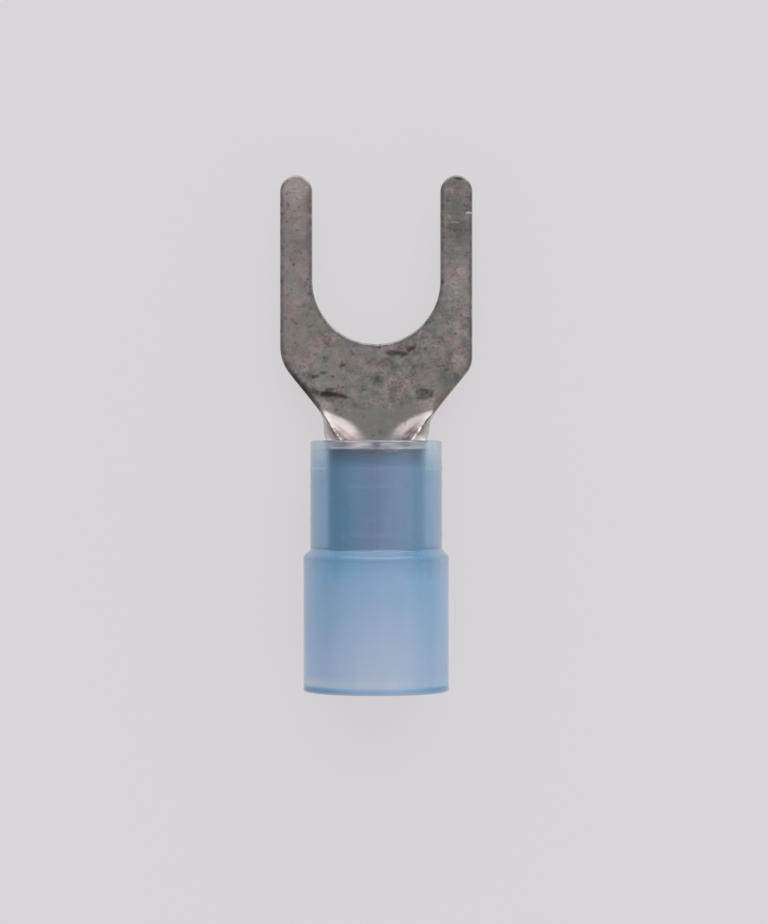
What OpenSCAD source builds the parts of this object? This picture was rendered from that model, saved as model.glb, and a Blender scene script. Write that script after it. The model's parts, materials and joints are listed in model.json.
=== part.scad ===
// Insulated fork terminal: a stamped fork with a rolled crimp barrel, in a moulded nylon sleeve.
// The origin is the stud's centre on the underside of the tongue.
// +Y points to the tine tips, and +Z from the tongue towards the barrel's seam.

/* [Tongue] */
// Thickness of the sheet metal
stock_t = 0.8; // [0.6:0.05:1]
// Width across both tines
fork_w = 8; // [7.4:0.1:10]
// Width of the stud slot, round at its closed end
slot_w = 5.35; // [4.3:0.05:5.8]
// Reach of the tine tips past the stud's centre
tine_reach = 4.35; // [3.5:0.05:6]
// Distance from the stud's centre back to the shoulders
shoulder_back = 3.5; // [3.2:0.05:3.8]
// Radius that rounds each shoulder
shoulder_r = 1.2; // [0.4:0.1:1.6]
// Angle between the tapered sides and the centre line
taper_angle = 39.5; // [34:0.5:46]

/* [Neck] */
// Width of the flat blank at the neck
neck_w = 4.1; // [3.8:0.05:4.6]
// Distance from the stud's centre back to the barrel's front rim
rim_back = 7; // [6.6:0.05:8]
// Length over which the flat sheet curls up into the barrel
curl_len = 1.75; // [1.5:0.05:2.2]
// Width of the floor that stays flat while the sides of the sheet rise
floor_w = 0.55; // [0.3:0.05:0.8]
// How much wider than the barrel the bend is where the sheet starts to curl
bend_open = 9; // [6:0.5:12]
// Radius of the relief between the neck's sides and the barrel's front rim
relief_r = 0.35; // [0.2:0.05:0.6]

/* [Barrel] */
// Outside diameter of the rolled barrel
barrel_od = 4; // [3.6:0.1:4.4]
// Length of the barrel
barrel_len = 4.45; // [4:0.05:6]
// Gap left where the rolled edges butt together
seam_gap = 0.02; // [0.02:0.02:0.12]
// Depth of the groove that the sheet's rounded edges leave along the seam
seam_groove = 0.05; // [0.05:0.05:0.3]
// Chamfer inside the barrel's wire end
barrel_chamfer = 0.2; // [0.1:0.05:0.3]
// Number of serrations pressed into the bore
serrations = 3; // [1:1:4]
// Spacing of the serrations along the bore
serration_pitch = 1; // [0.7:0.1:1.2]
// Width of a serration at the bore
serration_w = 0.4; // [0.2:0.05:0.5]
// Depth of a serration
serration_depth = 0.12; // [0.06:0.02:0.2]

/* [Sleeve] */
// Length of the sleeve
sleeve_len = 10.35; // [9:0.05:14]
// Wall of the sleeve over the barrel
sleeve_wall = 0.7; // [0.55:0.05:0.9]
// Bore that takes the wire's insulation
insulation_bore = 4.9; // [4.6:0.1:5.4]
// Wall of the sleeve round the wire entry
entry_wall = 0.55; // [0.45:0.05:0.8]
// Distance that the sleeve's front face covers past the barrel's front rim
front_cover = 0.31; // [0.1:0.01:0.5]
// Length of the outside shoulder between the two diameters
sleeve_shoulder = 0.26; // [0.2:0.02:0.8]
// Rounding of the shoulder's two corners
shoulder_fillet = 0.2; // [0.05:0.05:0.2]
// Length of the wider bore inside the front end, round the neck
lead_in_len = 0.4; // [0.35:0.05:1.2]
// Length of the stop ring behind the barrel's end
funnel_land = 0.15; // [0.1:0.05:0.4]
// Length of the funnel between the stop ring and the wire entry's bore
funnel_len = 3.7; // [2:0.1:4]
// Chamfer inside the wire entry
entry_chamfer = 0.2; // [0.1:0.05:0.4]
// Rounding of the sleeve's outer end edges
edge_r = 0.1; // [0.04:0.02:0.2]

/* [Fits] */
// Radial clearance between the barrel and the sleeve
sleeve_fit = 0.02; // [0.01:0.01:0.06]
// Radial clearance between the neck and the sleeve's front bore
neck_clearance = 0.05; // [0.02:0.01:0.1]
// Step of the stop ring inside the barrel's seat
stop_step = 0.12; // [0.06:0.02:0.3]

/* [Hidden] */
$fn = 96;
metal_colour = [0.62, 0.60, 0.58];
nylon_colour = [0.45, 0.62, 0.80, 0.75];

// Tongue
tine_w = (fork_w - slot_w) / 2;
tip_y = tine_reach - tine_w / 2;
taper = tan(taper_angle);
shoulder_tangent = shoulder_r * tan(taper_angle / 2);

// Neck: the sheet is flat at curl_y and a full tube at rim_y
rim_y = -rim_back;
curl_y = rim_y + curl_len;
neck_blend = 0.25;   // how softly the taper runs into the neck
floor_power = 2.9;   // how soon the flat tongue narrows to the floor
close_power = 14;    // how late the floor is taken up by the barrel's round
bend_power = 2.3;    // how the bend closes down to the barrel's own radius
stations = 18;       // rows of points along the curl
strips = 14;         // strips of sheet on each side of the centre line
lap = 0.25;          // length by which the curl is sunk into the tongue and the barrel
lap_inset = 0.015;   // how far the curl's skin lies inside theirs

// Barrel
axis_z = barrel_od / 2;
barrel_r = barrel_od / 2;
bore_r = barrel_r - stock_t;
mean_r = barrel_r - stock_t / 2;

// Sleeve, whose profile is measured back from its front face
sleeve_y = rim_y + front_cover;
stop_a = front_cover + barrel_len;
barrel_seat_r = barrel_r + sleeve_fit;
narrow_r = barrel_seat_r + sleeve_wall;
wide_r = insulation_bore / 2 + entry_wall;
stop_r = barrel_seat_r - stop_step;
funnel_a = min(stop_a + funnel_land + funnel_len, sleeve_len - 4 * entry_chamfer);
lead_in_r = neck_reach(sleeve_y) + neck_clearance;

// Share of the curl that is done at a place along the axis, 0 on the tongue and 1 in the barrel
function curl_share(y) = min(1, max(0, (curl_y - y) / curl_len));

// Half the width of the tapered tongue, carried on past the neck
function taper_half(y) = fork_w / 2 - (-shoulder_back - y) * taper;

// Half the width of the flat blank: the taper runs into the neck, then the relief turns out to the rim
function relief(y) =
    let (d = min(relief_r, max(0, rim_y + relief_r - y)))
    relief_r - sqrt(relief_r * relief_r - d * d);
function blank_half(y) =
    let (over = taper_half(y) - neck_w / 2)
    neck_w / 2 + (over + sqrt(over * over + neck_blend * neck_blend)) / 2 + relief(y);

// Half the width that is still flat, and the middle radius of the bend beside it
function flat_half(share) =
    let (floor_half = floor_w / 2, beside = blank_half(curl_y) - floor_half)
    floor_half * (1 - pow(share, close_power)) + beside * pow(1 - share, floor_power);
function bend_mid_r(share) = mean_r + bend_open * pow(1 - share, bend_power);

// A point of the sheet: s runs across the blank from its middle, up is measured from its middle surface
function sheet_point(s, y, up) =
    let (share = curl_share(y), flat = flat_half(share), r = bend_mid_r(share))
    let (side = s < 0 ? -1 : 1, past = max(0, abs(s) - flat), turn = past / r * 180 / PI)
    let (reach = min(abs(s), flat) + (r - up) * sin(turn))
    [side * reach, y, stock_t / 2 + r - (r - up) * cos(turn)];

// Furthest that the curled sheet reaches from the barrel's axis, which is the outer corner of its edge
function neck_reach(y) = norm(sheet_point(blank_half(y), y, -stock_t / 2) - [0, y, axis_z]);

// Flat tongue with its two tines, cut off square where the sheet starts to curl
module tongue() {
    end_half = blank_half(curl_y);
    shoulder_top = [fork_w / 2, -shoulder_back + shoulder_tangent];
    shoulder_end = [
        fork_w / 2 - shoulder_tangent * sin(taper_angle),
        -shoulder_back - shoulder_tangent * cos(taper_angle)
    ];
    right = [
        [slot_w / 2, 0],
        [slot_w / 2, tip_y],
        [fork_w / 2, tip_y],
        shoulder_top,
        shoulder_end,
        [end_half, curl_y]
    ];
    left = [for (i = [len(right) - 1:-1:0]) [-right[i].x, right[i].y]];
    difference() {
        union() {
            linear_extrude(height = stock_t) polygon(concat(right, left));
            for (side = [-1, 1]) {
                translate([side * (slot_w + tine_w) / 2, tip_y, 0])
                    cylinder(d = tine_w, h = stock_t);
                translate([side * (fork_w / 2 - shoulder_r), shoulder_top.y, 0])
                    cylinder(r = shoulder_r, h = stock_t);
            }
        }
        translate([0, 0, -stock_t]) cylinder(d = slot_w, h = 3 * stock_t);
    }
}

// Formed neck: rows of the blank's own points, bent row by row, with an inner and an outer skin
module neck() {
    half_t = stock_t / 2 - lap_inset;
    rows = [curl_y + lap, for (i = [0:stations]) curl_y - curl_len * i / stations, rim_y - lap];
    across = 2 * strips + 1;
    edge = across - 1;
    per_skin = len(rows) * across;
    skin = function (up) [
        for (y = rows, i = [-strips:strips])
            sheet_point((blank_half(max(y, rim_y)) - lap_inset) * i / strips, y, up)
    ];
    at = function (upper, row, i) upper * per_skin + row * across + i;
    quad = function (a, b, c, d) [[a, c, b], [a, d, c]];
    last = len(rows) - 1;
    faces = [
        for (k = [0:last - 1], i = [0:edge - 1])
            each concat(
                quad(at(0, k, i), at(0, k, i + 1), at(0, k + 1, i + 1), at(0, k + 1, i)),
                quad(at(1, k, i), at(1, k + 1, i), at(1, k + 1, i + 1), at(1, k, i + 1))
            ),
        for (k = [0:last - 1])
            each concat(
                quad(at(0, k, 0), at(0, k + 1, 0), at(1, k + 1, 0), at(1, k, 0)),
                quad(at(0, k + 1, edge), at(0, k, edge), at(1, k, edge), at(1, k + 1, edge))
            ),
        for (i = [0:edge - 1])
            each concat(
                quad(at(0, 0, i + 1), at(0, 0, i), at(1, 0, i), at(1, 0, i + 1)),
                quad(at(0, last, i), at(0, last, i + 1), at(1, last, i + 1), at(1, last, i))
            )
    ];
    polyhedron(points = concat(skin(-half_t), skin(half_t)), faces = faces);
}

// One pressed serration, a ring of trapezium section that opens into the bore
module serration() {
    floor_w = serration_w - serration_depth;
    rotate_extrude()
        polygon([
            [bore_r - serration_depth, -serration_w / 2 - serration_depth / 2],
            [bore_r + serration_depth, -floor_w / 2],
            [bore_r + serration_depth, floor_w / 2],
            [bore_r - serration_depth, serration_w / 2 + serration_depth / 2]
        ]);
}

// Rolled barrel, measured back from its front rim, with the butted seam on its upper side
module barrel() {
    past = 1;
    through = barrel_len + 2 * past;
    groove_w = 2 * seam_groove;
    translate([0, rim_y, axis_z])
        rotate([90, 0, 0])
            difference() {
                cylinder(r = barrel_r, h = barrel_len);
                translate([0, 0, -past]) cylinder(r = bore_r, h = through);
                translate([0, 0, barrel_len - barrel_chamfer])
                    cylinder(r1 = bore_r, r2 = bore_r + barrel_chamfer + past, h = barrel_chamfer + past);
                for (i = [0:serrations - 1])
                    translate([0, 0, barrel_len / 2 + (i - (serrations - 1) / 2) * serration_pitch])
                        serration();
                translate([-seam_gap / 2, bore_r / 2, -past])
                    cube([seam_gap, barrel_r, through]);
                translate([0, barrel_r - seam_groove, -past])
                    linear_extrude(height = through)
                        polygon([[0, 0], [groove_w, groove_w], [-groove_w, groove_w]]);
            }
}

module fork_terminal() {
    color(metal_colour)
        union() {
            tongue();
            neck();
            barrel();
        }
}

// Corner of a profile rounded with a given radius, as points along the arc
function rounded(before, corner, after, radius, steps = 5) =
    let (u = (before - corner) / norm(before - corner), v = (after - corner) / norm(after - corner))
    let (half = acos(u * v) / 2, bisector = (u + v) / norm(u + v))
    let (centre = corner + bisector * radius / sin(half), sweep = 180 - 2 * half)
    let (start = corner + u * radius / tan(half) - centre, way = cross(u, v) > 0 ? -1 : 1)
    [
        for (i = [0:steps])
            let (a = way * sweep * i / steps)
            centre + [start.x * cos(a) - start.y * sin(a), start.x * sin(a) + start.y * cos(a)]
    ];

// Outside of the sleeve from its front face to its wire end, as radius and distance from the front
function sleeve_outside() =
    let (front = [narrow_r, 0], foot = [narrow_r, stop_a - sleeve_shoulder])
    let (head = [wide_r, stop_a], end = [wide_r, sleeve_len])
    concat(
        rounded([0, 0], front, foot, edge_r),
        rounded(front, foot, head, shoulder_fillet),
        rounded(foot, head, end, shoulder_fillet),
        rounded(head, end, [0, sleeve_len], edge_r)
    );

// Inside of the sleeve from its wire end to its front face
function sleeve_inside() = [
    [insulation_bore / 2 + entry_chamfer, sleeve_len],
    [insulation_bore / 2, sleeve_len - entry_chamfer],
    [insulation_bore / 2, funnel_a],
    [stop_r, stop_a + funnel_land],
    [stop_r, stop_a],
    [barrel_seat_r, stop_a],
    [barrel_seat_r, lead_in_len],
    [lead_in_r, lead_in_len],
    [lead_in_r, 0]
];

module insulating_sleeve() {
    color(nylon_colour)
        translate([0, sleeve_y, axis_z])
            rotate([90, 0, 0])
                rotate_extrude() polygon(concat(sleeve_outside(), sleeve_inside()));
}

fork_terminal();
insulating_sleeve();
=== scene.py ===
import json
import math

import bmesh
import bpy
import numpy as np
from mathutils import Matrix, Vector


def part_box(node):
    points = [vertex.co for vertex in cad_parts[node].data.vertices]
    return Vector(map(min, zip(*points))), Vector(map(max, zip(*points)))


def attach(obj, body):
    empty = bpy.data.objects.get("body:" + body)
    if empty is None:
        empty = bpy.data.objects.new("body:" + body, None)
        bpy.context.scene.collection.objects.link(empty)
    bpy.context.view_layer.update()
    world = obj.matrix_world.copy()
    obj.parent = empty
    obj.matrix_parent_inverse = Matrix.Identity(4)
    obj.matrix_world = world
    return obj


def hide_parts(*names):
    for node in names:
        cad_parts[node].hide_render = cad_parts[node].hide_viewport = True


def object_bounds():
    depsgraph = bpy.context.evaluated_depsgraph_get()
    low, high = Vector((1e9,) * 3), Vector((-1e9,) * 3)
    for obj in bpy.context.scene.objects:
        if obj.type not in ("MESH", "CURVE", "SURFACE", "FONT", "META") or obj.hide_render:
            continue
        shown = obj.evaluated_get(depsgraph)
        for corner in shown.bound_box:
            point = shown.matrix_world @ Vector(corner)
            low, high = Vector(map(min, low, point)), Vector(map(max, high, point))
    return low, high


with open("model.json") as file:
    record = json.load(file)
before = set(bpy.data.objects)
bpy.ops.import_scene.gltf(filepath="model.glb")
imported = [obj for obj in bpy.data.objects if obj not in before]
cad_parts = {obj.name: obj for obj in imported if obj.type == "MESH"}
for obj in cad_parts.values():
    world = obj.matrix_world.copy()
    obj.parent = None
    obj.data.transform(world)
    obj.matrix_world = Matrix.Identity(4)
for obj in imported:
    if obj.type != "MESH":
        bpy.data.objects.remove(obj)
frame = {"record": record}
cadBox = [list(corner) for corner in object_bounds()]
mounts = {mount["name"]: mount["dims"] for mount in frame["record"]["mounts"]}
mm = 0.001
print("frame loaded", [round(1000 * (high - low), 2) for low, high in zip(*cadBox)], "mm")


# mesh helpers, all in millimetres until meshFromGrids

weldGap = 1e-7      # metres
sliverSize = 1e-8


def linePoints(start, end, count):  # evenly spaced points from start to end
    return np.linspace(np.array(start, float), np.array(end, float), count)


def arcPoints(centre, radius, startDeg, endDeg, count):  # points on a circle, centre + radius * (cos, sin)
    angle = np.radians(np.linspace(startDeg, endDeg, count))
    return np.column_stack([centre[0] + radius * np.cos(angle), centre[1] + radius * np.sin(angle)])


def joinRuns(*runs):  # runs end to start, each shared point kept once
    return np.vstack([runs[0]] + [run[1:] for run in runs[1:]])


def resample(points, count):  # the same path with evenly spaced points
    along = np.concatenate([[0], np.cumsum(np.linalg.norm(np.diff(points, axis=0), axis=1))])
    want = np.linspace(0, along[-1], count)
    return np.column_stack([np.interp(want, along, points[:, 0]), np.interp(want, along, points[:, 1])])


def roundedCorner(before, corner, after, radius, steps=8):  # arc tangent to both sides of a corner
    u = (before - corner) / np.linalg.norm(before - corner)
    v = (after - corner) / np.linalg.norm(after - corner)
    half = math.acos(np.clip(u @ v, -1, 1)) / 2
    bisector = (u + v) / np.linalg.norm(u + v)
    centre = corner + bisector * radius / math.sin(half)
    first = corner + u * radius / math.tan(half) - centre
    turn = math.copysign(math.pi - 2 * half, -(u[0] * v[1] - u[1] * v[0]))
    angle = turn * np.linspace(0, 1, steps + 1)
    x = first[0] * np.cos(angle) - first[1] * np.sin(angle)
    y = first[0] * np.sin(angle) + first[1] * np.cos(angle)
    return centre + np.column_stack([x, y])


# quads from grids of points, with shared edges welded and one number for each point
def meshFromGrids(name, grids, material, label, shares):
    verts, faces, start = [], [], 0
    for grid in grids:
        rows, columns = grid.shape[:2]
        index = start + np.arange(rows * columns).reshape(rows, columns)
        quads = np.stack([index[:-1, :-1], index[:-1, 1:], index[1:, 1:], index[1:, :-1]], axis=-1)
        verts.append(grid.reshape(-1, 3))
        faces.append(quads.reshape(-1, 4))
        start += rows * columns
    mesh = bpy.data.meshes.new(name)
    mesh.from_pydata((np.vstack(verts) * mm).tolist(), [], np.vstack(faces).tolist())
    share = np.concatenate([values.ravel() for values in shares]).astype(np.float32)
    mesh.attributes.new(label, "FLOAT", "POINT").data.foreach_set("value", share)
    shell = bmesh.new()
    shell.from_mesh(mesh)
    bmesh.ops.remove_doubles(shell, verts=shell.verts, dist=weldGap)
    bmesh.ops.dissolve_degenerate(shell, edges=shell.edges, dist=sliverSize)
    bmesh.ops.recalc_face_normals(shell, faces=shell.faces)
    print(name, "faces", len(shell.faces), "open edges", sum(not e.is_manifold for e in shell.edges))
    shell.to_mesh(mesh)
    shell.free()
    mesh.polygons.foreach_set("use_smooth", np.ones(len(mesh.polygons), bool))
    mesh.materials.append(material)
    made = bpy.data.objects.new(name, mesh)
    bpy.context.scene.collection.objects.link(made)
    return made


# shader maths: Value wraps an output socket, so that masks are written as plain sums and products

class Value:
    def __init__(self, tree, socket):
        self.tree = tree
        self.socket = socket

    def node(self, kind, settings=None, inputs=None, output=0):
        made = self.tree.nodes.new(kind)
        for name, setting in (settings or {}).items():
            if name == "stops":
                for stop in range(len(setting) - 2):
                    made.color_ramp.elements.new(0.5)
                for element, (place, colour) in zip(made.color_ramp.elements, setting):
                    element.position = place
                    element.color = (*colour, 1)
            else:
                setattr(made, name, setting)
        for name, value in (inputs or {}).items():
            if isinstance(value, Value):
                self.tree.links.new(value.socket, made.inputs[name])
            else:
                made.inputs[name].default_value = value
        return Value(self.tree, made.outputs[output])

    def maths(self, operation, first, second=0.0):
        return self.node("ShaderNodeMath", {"operation": operation}, {0: first, 1: second})

    def __add__(self, other):
        return self.maths("ADD", self, other)

    def __radd__(self, other):
        return self.maths("ADD", other, self)

    def __sub__(self, other):
        return self.maths("SUBTRACT", self, other)

    def __rsub__(self, other):
        return self.maths("SUBTRACT", other, self)

    def __mul__(self, other):
        return self.maths("MULTIPLY", self, other)

    def __rmul__(self, other):
        return self.maths("MULTIPLY", other, self)

    def unsigned(self):
        return self.maths("ABSOLUTE", self)

    def atMost(self, limit):
        return self.maths("MINIMUM", self, limit)

    def atLeast(self, limit):
        return self.maths("MAXIMUM", self, limit)

    def axis(self, index):  # x, y or z of coordinates
        return self.node("ShaderNodeSeparateXYZ", None, {0: self}, index)

    def ramp(self, low, high, smooth=True):  # 0 below low and 1 above high
        kind = {"interpolation_type": "SMOOTHSTEP" if smooth else "LINEAR", "clamp": not smooth}
        return self.node("ShaderNodeMapRange", kind, {0: self, 1: low, 2: high, 3: 0.0, 4: 1.0})

    def zone(self, low, high, smooth=True):  # the same between two places in mm
        return self.ramp(low * mm, high * mm, smooth)

    def within(self, low, full, fade, high):  # places in mm: 1 from full to fade, and 0 outside low and high
        return self.zone(low, full) * (1 - self.zone(fade, high))

    def mixed(self, first, second):  # a colour from first to second as this value goes from 0 to 1
        return self.node("ShaderNodeMix", {"data_type": "RGBA"}, {0: self, 6: first, 7: second}, 2)

    def times(self, colour, share=1.0):  # this colour times another one, as far as the share says
        blend = {"data_type": "RGBA", "blend_type": "MULTIPLY"}
        return self.node("ShaderNodeMix", blend, {0: share, 6: self, 7: colour}, 2)

    def noise(self, scale, detail=2.0, rough=0.5):
        inputs = {"Vector": self, "Scale": scale, "Detail": detail, "Roughness": rough}
        return self.node("ShaderNodeTexNoise", None, inputs)

    # coordinates about a mark's centre, along and across it, 1 at its ends
    def placed(self, centre, turnDeg, size):
        place = {"Vector": self, "Location": centre, "Rotation": (0, 0, math.radians(turnDeg)), "Scale": size}
        return self.node("ShaderNodeMapping", {"vector_type": "TEXTURE"}, place)

    # distance from a mark's centre, 1 at its ends and 2 from twice as far on
    def around(self, centre, turnDeg, size):
        spread = self.placed(centre, turnDeg, [2 * half for half in size])
        inner = self.node("ShaderNodeTexGradient", {"gradient_type": "SPHERICAL"}, {"Vector": spread}, 1)
        return 2 - inner * 2


def paints(finish):  # a finish's colours with alpha
    return {name: (*colour, 1) for name, colour in finish["colours"].items()}


def places(base, offsets):  # places in mm, given from a base
    return [base + offset for offset in offsets]


def startMaterial(name):  # an empty material with its coordinates and its output node
    made = bpy.data.materials.new(name)
    made.use_nodes = True
    made.node_tree.nodes.clear()
    coords = Value(made.node_tree, None).node("ShaderNodeTexCoord", None, None, 3)
    return made, coords, made.node_tree.nodes.new("ShaderNodeOutputMaterial")


# camera, straight above the part as in the photograph

viewFrame = {
    "imageSize": (768, 924),
    "studPixel": (376.3, 281.0),   # where the stud's centre lies in the picture
    "mmPerPixel": 0.04187,         # at the tongue
    "distance": 140.0,             # mm, as the sensor's height
    "sensorHeight": 36.0,
    "clip": (0.005, 10.0),         # metres
}


def makeCamera():
    width, height = viewFrame["imageSize"]
    scale = viewFrame["mmPerPixel"]
    across = (width / 2 - viewFrame["studPixel"][0]) * scale
    along = (viewFrame["studPixel"][1] - height / 2) * scale
    camera = bpy.data.cameras.new("camera")
    camera.sensor_fit = "VERTICAL"
    camera.sensor_height = viewFrame["sensorHeight"]
    camera.lens = camera.sensor_height * viewFrame["distance"] / (height * scale)
    camera.clip_start, camera.clip_end = viewFrame["clip"]
    made = bpy.data.objects.new("camera", camera)
    made.location = (across * mm, along * mm, viewFrame["distance"] * mm)
    bpy.context.scene.collection.objects.link(made)
    bpy.context.scene.camera = made


# pale floor and soft studio light

studio = {
    "pale": (0.694, 0.672, 0.694),
    "floorSize": 1.0,              # metres
    "shadowShare": 0.13,           # share of the floor that takes shade
    "floorGlow": 0.963,
    "floorDrop": 0.02,             # mm below the part, so that no touching line shows through the nylon
    "sky": [(0.0, 0.75), (0.1, 0.9), (0.5, 0.95), (0.86, 0.85), (0.95, 0.68), (0.99, 0.62), (1.0, 0.62)],
    "sideTilt": 0.3,               # how much brighter the right side is than the middle
    "softbox": 1.62,               # extra light from beyond the tine tips
    "softboxFrom": (0.19, 0.36), "softboxTo": (0.95, 0.99),   # of the direction's way ahead
    "softboxSpread": 0.95, "softboxSide": (0.0, 0.15),        # how it widens ahead, and its soft sides
}


def makeFloor():
    low = cadBox[0][2] - studio["floorDrop"] * mm
    half = studio["floorSize"] / 2
    mesh = bpy.data.meshes.new("floor")
    corners = [(-half, -half, low), (half, -half, low), (half, half, low), (-half, half, low)]
    mesh.from_pydata(corners, [], [(0, 1, 2, 3)])
    floor = bpy.data.objects.new("floor", mesh)
    bpy.context.scene.collection.objects.link(floor)
    made, coords, output = startMaterial("paleFloor")
    rays = [coords.node("ShaderNodeLightPath", None, None, name)
            for name in ("Is Camera Ray", "Is Glossy Ray", "Is Transmission Ray")]
    seen = (rays[0] + rays[1] + rays[2]).atMost(1.0)
    pale = (*studio["pale"], 1)
    matt = coords.node("ShaderNodeBsdfDiffuse", None, {"Color": pale})
    glow = coords.node("ShaderNodeEmission", None, {"Color": pale, "Strength": studio["floorGlow"]})
    both = coords.node("ShaderNodeMixShader", None, {0: seen * (1 - studio["shadowShare"]), 1: matt, 2: glow})
    made.node_tree.links.new(both.socket, output.inputs["Surface"])
    mesh.materials.append(made)


def makeWorld():
    world = bpy.data.worlds.new("studio")
    bpy.context.scene.world = world
    world.use_nodes = True
    world.node_tree.nodes.clear()
    start = Value(world.node_tree, None)
    direction = start.node("ShaderNodeTexCoord", None, None, "Generated")
    up, side, ahead = direction.axis(2), direction.axis(0), direction.axis(1)
    wide = side.unsigned()
    stops = [(place, (level / 2,) * 3) for place, level in studio["sky"]]
    sky = up.node("ShaderNodeValToRGB", {"stops": stops}, {0: up})
    softbox = ahead.ramp(*studio["softboxFrom"]) * (1 - ahead.ramp(*studio["softboxTo"]))
    softbox = softbox * (1 - (wide - ahead * studio["softboxSpread"]).ramp(*studio["softboxSide"]))
    level = (sky * 2 + softbox * studio["softbox"]) * (1 + side * studio["sideTilt"])
    camera = start.node("ShaderNodeLightPath", None, None, "Is Camera Ray")
    grey = level.node("ShaderNodeCombineColor", None, {0: level, 1: level, 2: level})
    colour = camera.mixed(grey, (*studio["pale"], 1))
    light = start.node("ShaderNodeBackground", None, {"Color": colour, "Strength": 1.0})
    output = world.node_tree.nodes.new("ShaderNodeOutputWorld")
    world.node_tree.links.new(light.socket, output.inputs["Surface"])


# fork terminal: one blank of sheet with rounded edges, curled into the barrel

terminal = {
    # each shoulder's distance back, rounding and side: they are not cut quite alike
    "shoulders": ((3.58, 1.0, 1), (3.42, 1.8, -1)),
    "shoulderBack": 3.5, "taperDeg": 39.5, "tineReach": 4.35,
    "neckW": 4.1, "neckBlend": 0.25, "rimBack": 7.0, "curlLen": 1.75, "floorW": 0.55,
    "bendOpen": 9.0, "floorPower": 2.9, "closePower": 14, "bendPower": 2.3, "reliefR": 0.35,
    "barrelLen": 4.45, "seamGap": 0.002, "cornerR": 0.05, "border": 0.13,
    "serrations": 3, "serrationPitch": 1.0, "serrationW": 0.4, "serrationDepth": 0.12,
    "serrationRunOut": 0.25,       # they grow shallow over this width beside the seam
    # rounding of the upper and the lower edge, then painted shade: how dark the flat is beside the upper
    # round, that round, the wall's top, the wall's foot (below 0, a painted highlight) and a line along the
    # lower round
    "tongueRound": (0.06, 0.06, 0.55, 0.3, 0.4, 0.4, 0.0),
    "neckRound": (0.05, 0.06, 0.1, 0.85, 0.1, -1.0, 0.0),
    "rimRound": (0.06, 0.2, 0.9, 0.9, -0.6, -1.0, 1.0),
    "seamRound": (0.04, 0.012, 0.0, 0.0, 0.0, 0.0, 0.0),
    "endRound": (0.2, 0.08, 0.0, 0.3, 0.3, 0.3, 0.0),
    "lineShare": (0.0, 0.0, 0.25, 0.95, 1.0, 0.0),   # how much of that line falls on each step of the round
    "across": 36, "slotSteps": 44, "tineSteps": 40, "tipSteps": 14, "taperSteps": 16,
    "curlSteps": 36, "reliefSteps": 12, "sideSteps": 34, "barrelSteps": 84,
    "roundSteps": 5, "wallSteps": 4, "shoulderSteps": 20, "rimSteps": 40, "cornerSteps": 8, "seamSteps": 60,
    "taperStart": 0.2,             # first row of the taper below the shoulder's round
    "tongueOver": 6, "easeSteps": 9,   # outline steps: the tongue's rounding past the taper, and each change
}
sheetT = mounts["stud_slot"]["length_mm"]
slotR = mounts["stud_slot"]["r_mm"]
boreR = mounts["wire_barrel"]["r_mm"]
meanR = boreR + sheetT / 2
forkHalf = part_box("fork_terminal")[1].x / mm
rimY = -terminal["rimBack"]
curlY = rimY + terminal["curlLen"]
endY = rimY - terminal["barrelLen"]


# half the flat blank's width: the taper, then the neck, then the relief turning out to the rim
def blankHalf(y, back):
    half = terminal["neckW"] / 2
    slope = math.tan(math.radians(terminal["taperDeg"]))
    over = forkHalf + (y + back) * slope - half
    radius = terminal["reliefR"]
    drop = np.clip(rimY + radius - y, 0, radius)
    neck = half + (over + np.sqrt(over ** 2 + terminal["neckBlend"] ** 2)) / 2
    return neck + radius - np.sqrt(radius ** 2 - drop ** 2)


def curledSheet(s, y, up, back):  # blank point bent about its row's radius beyond its row's flat floor
    t = terminal
    share = np.clip((curlY - y) / t["curlLen"], 0, 1)
    floorHalf = t["floorW"] / 2
    flat = floorHalf * (1 - share ** t["closePower"])
    flat = flat + (blankHalf(np.array(curlY), back) - floorHalf) * (1 - share) ** t["floorPower"]
    flat = np.where(share > 0, flat, 2 * forkHalf)
    radius = meanR + t["bendOpen"] * (1 - share) ** t["bendPower"]
    turn = np.maximum(0, np.abs(s) - flat) / radius
    x = np.sign(s) * (np.minimum(np.abs(s), flat) + (radius - up) * np.sin(turn))
    return np.stack([x, y, sheetT / 2 + radius - (radius - up) * np.cos(turn)], axis=-1)


def serrationDepth(y):  # rings of trapezium section pressed into the bore
    t = terminal
    middle = (rimY + endY) / 2
    last = t["serrations"] // 2
    ring = np.clip(np.round((y - middle) / t["serrationPitch"]), -last, last)
    off = np.abs(y - middle - ring * t["serrationPitch"])
    depth = np.clip(t["serrationW"] / 2 + t["serrationDepth"] / 2 - off, 0, t["serrationDepth"])
    return np.where((y < rimY) & (y > endY), depth, 0)


def ruled(inner, outer, count):  # straight rungs from one edge to the other
    share = np.linspace(0, 1, count)[None, :, None]
    return inner[:, None] * (1 - share) + outer[:, None] * share


# patch that keeps its four edges: the sum of both rulings less that of the corners
def coons(top, bottom, left, right):
    u = np.linspace(0, 1, len(top))[None, :, None]
    v = np.linspace(0, 1, len(left))[:, None, None]
    rows = (1 - v) * top[None] + v * bottom[None]
    columns = (1 - u) * left[:, None] + u * right[:, None]
    corners = (1 - v) * ((1 - u) * top[0] + u * top[-1]) + v * ((1 - u) * bottom[0] + u * bottom[-1])
    return rows + columns - corners


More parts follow.
